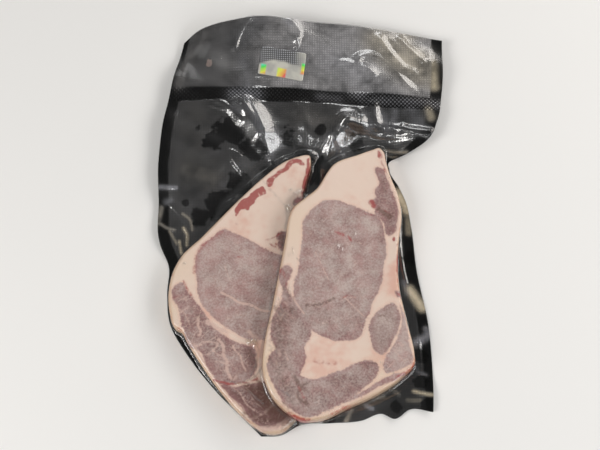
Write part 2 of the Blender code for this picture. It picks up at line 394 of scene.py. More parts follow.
beefLook = {
    # the walls' fat is darkened partly as painted shade; the dark lines' colour is partly painted shadow
    "fat": "#e5cfc0", "fatPink": "#ddb3a2", "fatYellow": "#e4cdaf", "wallFatAndShade": "#d3b498",
    "leanGrey": "#b9a49d", "leanPink": "#b3908b", "leanDark": "#6a4744", "darkLeanAndShadow": "#5e4034",
    "sideRed": "#b5553f", "vein": "#d4b6aa", "fresh": "#a04a48", "edge": "#9a7170", "frost": "#cdbfb8",
    "speckle": 1.5,  # millimetres, about the size of the frost's crystals
    "marbling": (7, 0.07),  # millimetres between the marbling's pale threads, and their half width as a share
}


# raw beef: a sawn face of blotchy lean under a fine speckle of frost, waxy fat and blurred borders; the walls
# are darkened partly as painted shade, and dark lines on the left steak's tail are painted shadow
def rawBeef():
    material = newMaterial("raw beef, sawn face")
    look = {key: hexColour(value) for key, value in beefLook.items() if isinstance(value, str)}
    place = addNode("TexCoord", take="Object")
    big, middle, grain = blotches(place, 19, 3, 0), blotches(place, 6, 3, 3), blotches(place, 2.2, 3, 7)
    clouds, patches = blotches(place, 13, 7, 31), blotches(place, 8, 6, 47)
    speck = blotches(place, beefLook["speckle"], 2, 11)
    border = total(attribute("lean"), (middle, 2.5), (grain, 2.2), speck)
    tone = attribute("tone")

    pinkness = total(attribute("hue"), (patches, -1), (big, 1.3))
    depth = total(tone, (clouds, 1.3), (middle, 0.4), (grain, 0.5), (speck, 0.6))
    frost = total(patches, (grain, 0.6), (speck, -0.9), (tone, -0.35), 0.3)
    lean = layered(look["leanGrey"], (ramp(pinkness, 0.1, 0.9), look["leanPink"]),
                   (clamped(depth, 0.85), look["leanDark"]), (ramp(border, 5, 0.3, 0, 0.5), look["edge"]),
                   (marbling(place, middle), look["vein"]), (clamped(frost, 0.75), look["frost"]))
    redness = total(attribute("raw"), (middle, 2.4), (grain, 1.6))
    # the walls' fat colour, darker partly as painted shade
    side = layered(look["wallFatAndShade"], (ramp(redness, 0.1, 1.2), look["sideRed"]))
    blush = total(attribute("blush"), (big, 1.2), middle)
    fat = layered(look["fat"], (ramp(blush, 0.1, 0.9), look["fatPink"]),
                  (attribute("yellow"), look["fatYellow"]),
                  (ramp(border, -3, -0.2, 0, 0.4), look["fatPink"]), (attribute("side"), side))
    uneven = total((grain, 2), (middle, 1.6))
    colour = layered(fat, (ramp(border, -0.8, 0.8), lean),
                     (drawnLines("veins", (grain, 2.5), 0.8), look["vein"]),
                     # dark lines: darker lean, and on the left steak's tail painted shadow of the right steak
                     (drawnLines("dark", (grain, 2.5), 0.6), look["darkLeanAndShadow"]),
                     (drawnLines("fresh", uneven, 0.9), look["fresh"]))
    return finished(material, Base_Color=colour, Normal=bumped(total((grain, 0.5), (speck, 0.35)), 0.6, 0.3),
                    Roughness=0.55, IOR=1.38)


# share of a web of thin lines: the borders between cells of a real size, bent by noise, where 'web' is high
def marbling(place, bend):
    size, halfWidth = beefLook["marbling"]
    shift = product(bend, 16 * mm)
    shift = addNode("CombineXYZ", {"X": shift, "Y": shift})
    moved = addNode("VectorMath", {0: place, 1: shift}, operation="ADD")
    cells = addNode("TexVoronoi", {"Vector": moved, "Scale": 1 / (size * mm)}, feature="DISTANCE_TO_EDGE")
    return product(ramp(cells, halfWidth, 0), ramp(total(attribute("web"), (bend, 2.5)), 0.1, 0.9, 0, 0.7))


# share of the lines drawn in an attribute, ragged by noise: attribute x (1 + noise)
def drawnLines(name, noise, most):
    return ramp(product(attribute(name), total(noise, 1)), 0.15, 0.8, 0, most)


filmLook = {
    "wet": "#040404", "plain": "#0e0e0e", "seal": "#060606", "spot": "#8d786e",
    # the veil colour is both the haze's and a painted sheen's, the cream one a painted warm sheen
    "hazyAndSheenLayer": "#adaeb6", "creamSheenColour": "#cfc3aa", "hazyAndSheenShare": 0.16, "gloss": 0.08, "softGloss": 0.012,
    "embossPitch": 2.1, "bandPitch": 2.4,  # the real ones are about 1.2 mm, too fine to show here
}


# 1 where the plies cling together: drawn patches with a ragged edge, the same in both plies
def wetness(place):
    ragged = total(attribute("wet"), (blotches(place, 8, 4, 9), 1.2), (blotches(place, 2, 2, 2), 0.5))
    return ramp(ragged, 0.38, 0.46)


# black back ply: nylon and polyethylene rolled together, jet black where wet film clings to it, else greyer
def blackPly():
    material = newMaterial("black vacuum film, embossed")
    wet, plain, seal, spot = (hexColour(filmLook[key]) for key in ("wet", "plain", "seal", "spot"))
    place = addNode("TexCoord", take="Object")
    pale = ramp(total(attribute("spot"), (blotches(place, 2, 2, 2), 0.9)), 0.4, 0.6)
    colour = layered(plain, (wetness(place), wet), (attribute("seal"), seal), (pale, spot))
    waffle = product(*crossWaves("SINE", place, filmLook["embossPitch"]))
    return finished(material, Base_Color=colour, Normal=bumped(waffle, 0.4, 0.05), Roughness=0.33, IOR=1.22)


# clear front ply: see-through polyethylene film with an embossed waffle; it shows by a sharp gloss,
# gloss + 0.9 facing^5, by a wide soft gloss broken into dots by the waffle, and by a diffuse veil that is
# haze where it lies apart and partly painted sheen and highlights
def clearFilm():
    material = newMaterial("clear vacuum film, embossed")
    place, look = addNode("TexCoord", take="Object"), filmLook
    band, cling, isWet = attribute("band"), attribute("cling"), wetness(place)
    dots = product(dotGrid(place, look["embossPitch"]), attribute("emboss"))
    hatch = product(dotGrid(place, look["bandPitch"], 0.785), band)
    both = total((total(dots, (hatch, 1.5)), 2.4), 0.4)
    faint = total((dots, 0.6), (hatch, 3.2), (band, -0.75), 0.85)
    normal = bumped(total(dots, hatch, (blotches(place, 3.5, 3, 4), 0.4)), 1, 0.022)
    facing = addNode("LayerWeight", {"Normal": normal, "Blend": 0.5}, take="Facing")

    # the cream tint is a painted warm sheen
    tint = layered(hexColour(look["hazyAndSheenLayer"]), (attribute("creamSheen"), hexColour(look["creamSheenColour"])))
    streaks = ramp(total(blotches(place, 16, 2, 14), (blotches(place, 4, 3, 8), 0.4)), -0.35, 0.35, 0.3, 1.7)
    # the veil's share: haze where the plies lie apart, and painted sheen and highlights in the drawn patches
    hazyAndSheenShare = product(attribute("hazyAndSheen"), total((isWet, -look["hazyAndSheenShare"]), look["hazyAndSheenShare"]), faint, streaks)
    softShare = product(both, total((cling, 0.3), 1), look["softGloss"])
    mirror = total((maths("POWER", facing, 5), 0.9), look["gloss"])
    sharpShare = product(mirror, faint, total((cling, -0.75), 1))
    cover = product(attribute("cover"), total((isWet, -0.6), 1))

    film = addNode("BsdfTransparent")
    soft, sharp = (addNode("BsdfGlossy", {"Normal": normal, "Color": (1, 1, 1, 1), "Roughness": roughness})
                   for roughness in (0.36, 0.17))
    hazyAndSheenLayer = addNode("BsdfDiffuse", {"Color": tint})
    for share, over in ((hazyAndSheenShare, hazyAndSheenLayer), (softShare, soft), (sharpShare, sharp)):
        film = addNode("MixShader", {0: product(share, cover), 1: film, 2: over})
    addNode("OutputMaterial", {"Surface": film})
    return material


# foil sticker: vapour-coated polyester, a soft mirror with faint ruled lines that split light into colours,
# and a painted dark reflection over its top
def labelFoil():
    material = newMaterial("metallised polyester foil")
    place = addNode("TexCoord", take="Object")
    # the dark top is a painted dark reflection, its bright dots painted glints on the emboss
    dark = layered(hexColour("#303135"), (dotGrid(place, 1.7), hexColour("#c9cbd2")))
    turn = maths("MAXIMUM", total(attribute("hue"), (blotches(place, 2, 2, 1), 0.12)), 0)
    rainbow = addNode("CombineColor", {"Red": turn, "Green": 0.9, "Blue": 0.95}, mode="HSV")
    silver = ramp(blotches(place, 9, 2, 6), -0.2, 0.2)
    colour = layered(hexColour("#d6d4c9"), (silver, hexColour("#bab9b3")), (attribute("shade"), dark),
                     (attribute("rainbow"), rainbow))
    return finished(material, Base_Color=colour, Metallic=0.25, Roughness=0.3)


# pale matt laminate under the pack
def paleFloor():
    return finished(newMaterial("pale matt laminate"), Base_Color=hexColour("#f0efed"), Roughness=0.6)


# Muscles: tone (0 pale to 1 dark), hue (0 grey to 1 pink), web (0 plain to 1 marbled), outline.
# Lines: half width, strength, points. Areas: strength, outline. Patches: centre, radius, strength.
leftSteak = {
    "outline": leftOutline, "centre": (-45, -60), "bottom": leftBottom, "top": leftTop, "seed": 20,
    "muscles": [
        (0.2, 0.62, 0.2, (-64, -15), (-53, -19), (-39, -26), (-25, -34), (-3, -41), (5, -72), (1, -103),
         (-29, -104), (-42, -104), (-51, -100), (-59, -95), (-67, -89), (-74, -82), (-81, -72), (-83, -59),
         (-85, -48), (-85, -40), (-83, -33), (-79, -27), (-72, -21)),
        (0.75, 1, 0.2, (-22, -21), (-19, -17), (-13, -17), (0, -17), (0, -36), (-16, -33), (-21, -29),
         (-20, -25)),
        (0.47, 0.8, 0.45, (-98, -60), (-94, -58), (-91, -64), (-86, -71), (-79, -80), (-73, -89),
         (-66, -97), (-58, -103), (-46, -108), (-38, -110), (-36, -119), (-37, -130), (-46, -137),
         (-56, -139), (-64, -138), (-69, -131), (-76, -120), (-78, -114), (-84, -111), (-88, -108),
         (-90, -103), (-92, -97), (-94, -91), (-95, -85), (-97, -78), (-101, -73), (-102, -66)),
        (1.05, 1, 0.4, (-63, -139), (-59, -143), (-54, -149), (-49, -154), (-44, -159), (-39, -165),
         (-33, -170), (-22, -170), (-12, -166), (-3, -160), (2, -145), (-8, -136), (-34, -137),
         (-51, -140)),
        (0.5, 1, 0, (-9, 7), (-7, 11), (-4, 13), (4, 13), (6, 2), (-4, 3))],
    "veins": [
        (1, 1, (-64, -67), (-56, -71), (-50, -75), (-41, -77), (-33, -81), (-26, -82)),
        (0.7, 0.5, (-62, -45), (-60, -51), (-57, -58)), (0.6, 0.4, (-36, -46), (-29, -44), (-18, -40)),
        (0.6, 0.35, (-34, -55), (-24, -53)), (2, 0.9, (-74, -90), (-68, -94), (-62, -98)),
        (1.3, 0.9, (-81, -87), (-81, -93), (-79, -97), (-80, -101)),
        (2, 0.8, (-74, -91), (-69, -93), (-64, -96), (-60, -98)),
        (1.5, 0.9, (-65, -104), (-61, -110), (-61, -116), (-58, -122), (-58, -128), (-55, -134)),
        (1, 0.8, (-54, -109), (-52, -113), (-48, -117), (-47, -122), (-44, -128)),
        (0.8, 0.6, (-70, -111), (-66, -115), (-62, -117)), (0.7, 0.5, (-58, -122), (-53, -120), (-49, -121)),
        (1.1, 0.8, (-86, -107), (-81, -109), (-78, -108)), (1, 0.7, (-77, -106), (-70, -106), (-65, -108)),
        (1, 0.6, (-67, -121), (-61, -122), (-57, -124)), (1.1, 0.7, (-73, -116), (-68, -112), (-65, -107)),
        (1.1, 0.7, (-84, -108), (-80, -115), (-75, -122)), (2.4, 0.7, (-42, -98), (-36, -104)),
        (1.2, 0.5, (-96, -80), (-90, -86), (-88, -92)),
        (0.9, 0.6, (-64, -139), (-57, -147), (-47, -154), (-43, -160)),
        (0.8, 0.6, (-55, -139), (-48, -145), (-43, -153), (-37, -158)),
        (0.7, 0.5, (-47, -139), (-41, -143), (-36, -149)),
        (0.7, 0.5, (-50, -140), (-42, -144), (-37, -151), (-31, -156)),
        (1.3, 0.6, (-46, -162), (-39, -164), (-31, -160), (-25, -155), (-22, -149)),
        (2, 0.9, (-34, -171), (-25, -171), (-16, -167), (-10, -163))],
    "fresh": [
        (2.6, 0.4, (-85, -51), (-84, -38), (-78, -27), (-65, -17)), (1.2, 0.45, (-52, -38), (-48, -38)),
        (1.2, 0.6, (-94, -57), (-91, -63), (-87, -69)), (2.5, 0.35, (-101, -71), (-95, -69)),
        (1, 0.75, (-68, -135), (-61, -137), (-55, -138), (-47, -137), (-40, -136), (-35, -134)),
        (1.2, 0.5, (-22, -27), (-16, -31)), (1, 0.5, (-54, -10), (-53, -11)),
        (1.6, 0.95, (4, 46), (3, 36), (1, 27), (-1, 15)), (0.8, 0.6, (-8, 16), (-5, 14), (-5, 11)),
        (2, 0.6, (-6, 9), (-1, 11)), (1.4, 0.5, (-27, -27), (-20, -31)),
        (1.2, 0.45, (-30, -24), (-24, -22), (-18, -18))],
    "freshAreas": [
        (0.95, (-54, -4), (-55, 1), (-52, 7), (-48, 11), (-45, 12), (-42, 16), (-37, 20), (-33, 22),
         (-31, 19), (-30, 16), (-33, 14), (-37, 12), (-40, 7), (-43, 4), (-44, 1), (-48, 2), (-51, 1),
         (-52, -1)),
        (0.8, (-30, 23), (-30, 27), (-27, 30), (-23, 33), (-20, 36), (-16, 38), (-13, 43), (-11, 45),
         (-5, 46), (0, 43), (1, 40), (-2, 40), (-6, 42), (-9, 41), (-11, 38), (-14, 35), (-18, 33),
         (-21, 30), (-24, 27), (-25, 23), (-28, 21))],
    # dark lines; the wide ones on the tail along the right steak's lower edge are painted shadow of the right
    # steak
    "dark": [
        (9, 0.9, (-31, -146), (-22, -155), (-12, -162)), (5, 0.7, (-43, -140), (-30, -148)),
        (4, 0.6, (-44, -160), (-30, -165), (-20, -163)), (4, 0.5, (-42, -112), (-38, -119), (-38, -126)),
        (4, 0.4, (-86, -81), (-78, -87)), (3, 0.3, (-90, -97), (-86, -104)),
        (6, 0.3, (-78, -52), (-70, -54)), (3, 0.45, (-18, -18), (-17, -28)),
        (3, 0.6, (-36, -134), (-30, -140))],
    "blush": [
        (-20, -100, 22, 0.6), (-70, -78, 22, 0.5), (-60, -128, 30, 0.5), (-34, -114, 12, 0.9),
        (-20, 20, 40, 0.25), (-50, -15, 16, 0.5)],
    "yellow": [(-96, -44, 16, 0.3), (-104, -78, 12, 0.4), (-50, -165, 14, 0.25)],
    "raw": [(4, 30, 18, 1), (-40, -170, 14, 0.3), (-92, -100, 8, 0.5)],
}

rightSteak = {
    "outline": rightOutline, "centre": (28, -60), "bottom": rightBottom, "top": rightTop, "seed": 50,
    "muscles": [
        (0.27, 0.5, 0.12, (16, 6), (26, 7), (38, 4), (49, 0), (59, -4), (63, -12), (64, -22), (65, -34),
         (62, -46), (61, -57), (58, -65), (54, -72), (52, -77), (51, -84), (48, -87), (46, -94), (44, -101),
         (41, -103), (27, -106), (14, -103), (6, -99), (0, -95), (-4, -84), (-7, -74), (-8, -64), (-5, -54),
         (-3, -40), (-1, -26), (0, -11), (6, -3)),
        (0.46, 0.7, 0.1, (58, 37), (60, 38), (64, 37), (66, 32), (68, 26), (69, 22), (73, 12), (75, 5),
         (75, -2), (74, -10), (72, -17), (69, -20), (66, -20), (64, -17), (64, -12), (62, -7), (57, -2),
         (56, 4), (54, 7), (55, 10), (58, 12), (57, 16), (58, 20), (61, 24), (59, 30)),
        (0.42, 0.5, 0.1, (-12, -48), (-10, -49), (-10, -57), (-13, -64), (-12, -69), (-7, -76), (-1, -87),
         (6, -99), (4, -106), (0, -112), (2, -118), (1, -123), (-2, -134), (3, -135), (8, -136), (15, -133),
         (30, -127), (41, -122), (47, -120), (53, -121), (56, -123), (56, -130), (50, -137), (44, -142),
         (33, -150), (16, -159), (3, -164), (-4, -162), (-12, -157), (-21, -145), (-24, -138), (-27, -132),
         (-27, -124), (-25, -118), (-21, -114), (-25, -106), (-25, -100), (-24, -93), (-21, -84),
         (-18, -80), (-17, -73), (-16, -67), (-19, -61), (-18, -52)),
        (0.42, 0.1, 0, (69, -75), (72, -79), (74, -85), (73, -94), (68, -104), (63, -113), (58, -116),
         (53, -112), (51, -104), (50, -96), (51, -90), (55, -84), (61, -79), (66, -76)),
        (0.08, 0.5, 0.6, (74, -76), (78, -88), (80, -106), (82, -121), (70, -128), (61, -130), (60, -124),
         (63, -116), (68, -109), (73, -98), (75, -87)),
        (0.2, 0.9, 0.3, (77, -130), (69, -135), (59, -139), (46, -146), (34, -151), (24, -155), (34, -149),
         (47, -142), (60, -134), (70, -130)),
        (0.5, 0.9, 0, (71, -66), (75, -66), (76, -71), (72, -70))],
    "veins": [
        (0.8, 0.9, (-11, -70), (-6, -78), (0, -86)), (0.8, 0.55, (9, -37), (15, -50), (19, -58)),
        (0.9, 0.6, (31, -71), (39, -79), (46, -86)), (0.8, 0.5, (28, -75), (33, -72), (40, -71)),
        (1.2, 0.6, (-14, -116), (-12, -122)), (1, 0.55, (-20, -76), (-22, -84), (-17, -92)),
        (0.7, 0.4, (5, -144), (8, -150), (2, -156)), (0.7, 0.4, (28, -142), (36, -139)),
        (1.4, 0.6, (-22, -79), (-20, -81)), (1.2, 0.6, (-19, -84), (-17, -85)),
        (1.2, 0.6, (-15, -78), (-13, -79)), (1.6, 0.6, (-19, -115), (-18, -119)),
        (1.2, 0.6, (-21, -123), (-20, -126)), (1.3, 0.6, (-14, -153), (-12, -155)),
        (1.2, 0.5, (-6, -148), (-5, -150)), (1.2, 0.4, (-13, -88), (-12, -91)),
        (1.4, 0.4, (-16, -100), (-14, -103)), (0.8, 0.6, (-8, -160), (-16, -152)),
        (0.9, 0.5, (-8, -90), (-14, -86), (-18, -92)), (0.9, 0.5, (68, -112), (76, -122))],
    "fresh": [
        (1.8, 0.6, (25, -19), (31, -21)), (1.4, 0.6, (35, -22), (37, -25)), (2.6, 0.95, (54, 8), (56, 5)),
        (0.9, 0.5, (56, 6), (63, 2), (68, -1)), (2.5, 0.25, (12, -18), (18, -20)),
        (1.3, 0.55, (74, -27), (73.5, -40), (73, -52)), (2.2, 0.9, (61, 51), (62, 48)),
        (1.4, 0.45, (63, 43), (65, 38), (69, 29)), (1.2, 0.9, (71, -22), (71, -24)),
        (2.4, 0.4, (8, -122), (16, -123), (24, -123)), (0.9, 0.45, (30, -72), (34, -70), (40, -71)),
        (1.4, 0.6, (73, -68), (75, -69)), (1.2, 0.6, (-20, -50), (-18, -54)),
        (1.6, 0.4, (-17, -51), (-14, -60), (-13, -67)), (1.3, 0.5, (49, -2), (54, -3)),
        (1.6, 0.4, (-4, -142), (0, -150)), (1.2, 0.6, (76, -129), (70, -133)),
        (1.8, 0.75, (-13, -161), (-4, -166), (8, -167)), (1, 0.4, (46, -142), (52, -139))],
    "freshAreas": [],
    "dark": [
        (1.5, 0.8, (2, -80), (8, -79), (15, -77), (23, -73)), (14, 0.33, (4, -80), (20, -92), (42, -88)),
        (11, 0.5, (-14, -84), (-18, -96), (-18, -112)), (3, 0.6, (-22, -82), (-14, -86), (-9, -82)),
        (5, 0.45, (-14, -66), (-10, -76)), (11, 0.45, (-20, -124), (-14, -140), (-6, -152)),
        (2, 0.5, (-15, -154), (-8, -158)), (1.2, 0.95, (-25, -121), (-26, -122)),
        (2.2, 0.75, (-7, -135), (-3, -142), (-4, -150), (2, -154)), (1.6, 0.7, (-3, -142), (4, -138)),
        (1.4, 0.6, (2, -144), (-8, -148)), (0.9, 0.5, (56, -87), (61, -85), (64, -89)),
        (1, 0.5, (41, -124), (49, -122), (55, -123)), (3, 0.35, (-16, -54), (-14, -64)),
        (1, 0.6, (-26, -94), (-18, -90)), (1, 0.55, (-14, -90), (-6, -93)),
        (2.6, 0.95, (60, 2), (64, -1), (68, -4)), (3, 0.3, (60, -12), (64, -18)),
        (3, 0.35, (62, 30), (66, 16)), (0.8, 0.5, (30, -103), (33, -100)), (8, 0.28, (-14, -146), (0, -158)),
        (3, 0.3, (51, 0), (60, -10), (62, -28), (64, -37)), (3, 0.25, (56, -85), (64, -89))],
    "blush": [
        (16, -122, 22, 0.6), (73, -50, 10, 1), (72, -62, 12, 0.8), (60, -120, 16, 0.6), (-6, -78, 14, 0.5),
        (40, 30, 40, 0.2)],
    "yellow": [(-10, -14, 24, 0.35), (-26, -130, 18, 0.8), (10, -166, 20, 0.4), (60, -140, 20, 0.4)],
    "raw": [
        (76, -47, 20, 0.55), (-4, -168, 12, 1), (30, -158, 10, 0.6), (82, -126, 12, 0.9), (70, 44, 14, 0.4)],
}

steakGrid = {
    "topRings": 84, "wallRings": 9, "roundRings": 7, "underRings": 4, "roundTop": 3.2, "roundBottom": 1.6,
    "lumps": 0.35, "hills": 0.2, "smallHills": 0.1, "fatStep": 0.15, "dents": 0.25,
}


# strength of a set of lines at each place: each falls off as a bell over its half width
def lineField(x, y, lines):
    value = np.zeros(np.shape(x))
    for halfWidth, strength, *points in lines:
        value = np.maximum(value, strength * bell(lineDistance(x, y, openCurve(points)), halfWidth))
    return value


# strength of a set of round patches: each a bell over its radius
def spotField(x, y, spots):
    value = np.zeros(np.shape(x))
    for cx, cy, radius, strength in spots:
        value = np.maximum(value, strength * bell(np.hypot(x - cx, y - cy), radius))
    return value


# everything the meat's surface knows at each place
def meatFields(x, y, steak):
    lean = np.full(np.shape(x), -1e3)
    weights, sums = np.full(np.shape(x), 1e-6), np.zeros((3, *np.shape(x)))
    for tone, hue, web, *points in steak["muscles"]:
        depth = -distanceOutside(x, y, closedCurve(points, 90))
        lean = np.maximum(lean, depth)
        weight = smoothStep(-3, 3, depth)
        weights, sums = weights + weight, sums + weight * np.array([[tone], [hue], [web]])
    fields = {key: lineField(x, y, steak[key]) for key in ("veins", "fresh", "dark")}
    fields.update({key: spotField(x, y, steak[key]) for key in ("blush", "yellow", "raw")})
    fields["tone"], fields["hue"], fields["web"] = sums / weights
    fields["lean"] = np.clip(lean, -9, 9)
    for strength, *points in steak["freshAreas"]:
        area = strength * smoothStep(1.2, -1.2, distanceOutside(x, y, closedCurve(points, 90)))
        fields["fresh"] = np.maximum(fields["fresh"], area)
    return fields


# A steak is rings round a centre: in along the underside, up the wall, round the top edge and back in.
# A ring is its inset from the outline, its shares of the way in and of the height, an offset and a sideness.
def steakRings():
    g = steakGrid
    turns = np.linspace(0, np.pi / 2, g["roundRings"])
    rings = [(0, 1 - k / g["underRings"], 0, 0, 1) for k in range(1, g["underRings"])]
    for inset, rise in zip(1 - np.sin(turns), 1 - np.cos(turns)):
        rings.append((g["roundBottom"] * inset, 0, 0, g["roundBottom"] * rise, 1))
    for share in np.arange(1, g["wallRings"]) / g["wallRings"]:
        rings.append((0, 0, share, between(g["roundBottom"], -g["roundTop"], share), 1))
    for inset, fall in zip(1 - np.cos(turns), 1 - np.sin(turns)):
        rings.append((g["roundTop"] * inset, 0, 1, -g["roundTop"] * fall, smoothStep(0, 1, 1 - inset)))
    inwards = np.arange(1, g["topRings"]) / g["topRings"]
    return rings + [(g["roundTop"] * (1 - inward), inward, 1, 0, 0) for inward in inwards]


# the rings with lumps of fat on the wall, and low relief from hills, borders and dents on the face
def makeSteak(name, steak, material):
    g, outline, centre, seed = steakGrid, steak["outline"], np.array(steak["centre"], float), steak["seed"]
    out = outline - centre
    reach = lengths(out)
    around = np.arange(len(outline)) / len(outline) * 2 * np.pi
    rows, sides = [], []
    for inset, inward, share, offset, sideness in steakRings():
        here = centre + out * (1 - inset / reach) * (1 - inward)
        low, high = steak["bottom"](*here.T), steak["top"](*here.T) - meat["underFilm"]
        lumps = g["lumps"] * np.sin(np.pi * share) * (hills(around * 14, share * 3, 1, seed) - 0.3)
        z = between(low, high, share) + offset
        rows.append(np.column_stack([here + out / reach * lumps[:, None], z]))
        sides.append(np.full(len(outline), float(sideness)))
    points, side = np.concatenate(rows), np.concatenate(sides)
    x, y, z = points.T
    fields = meatFields(x, y, steak)
    dent = lineField(x, y, [line for line in steak["dark"] if line[0] < 1.5])
    relief = g["hills"] * hills(x, y, 14, seed + 1) + g["smallHills"] * hills(x, y, 4, seed + 2)
    relief += g["fatStep"] * smoothStep(0.8, -0.8, fields["lean"]) - g["dents"] * dent
    points[:, 2] += np.minimum(relief - 0.15, 0.12) * (1 - side) * (z > 5)
    red = smoothStep(2.8, 1.0, -distanceOutside(x, y, outline)) * smoothStep(0.2, 0.7, fields["raw"])
    hubs = [[*centre, steak["bottom"](*centre)], [*centre, steak["top"](*centre) - meat["underFilm"]]]
    values = {key: np.append(value, value[[0, -1]]) for key, value in fields.items()}
    values["side"] = np.append(np.maximum(side, red), [1, 0])
    faces = ringFaces(len(rows), len(outline), 2)
    return makePiece(name, np.concatenate([points, hubs]), faces, material, values)


sticker = {
    "centre": (-18, 133), "width": 38, "height": 24, "turn": -8, "low": 1.2, "thickness": 0.3, "corner": 1.6,
    "columns": 60, "rows": 40,
    # bars of split light: centre, half width and height, hue at the centre, its change to the right and up
    "rainbow": [((-15, -7.5), 2.4, 4.4, 0.26, -0.02, 0.04), ((0.5, -8), 4.0, 4.4, 0.11, -0.025, 0.012),
                ((18, -1), 1.8, 5.0, 0.2, 0.0, 0.04)],
}

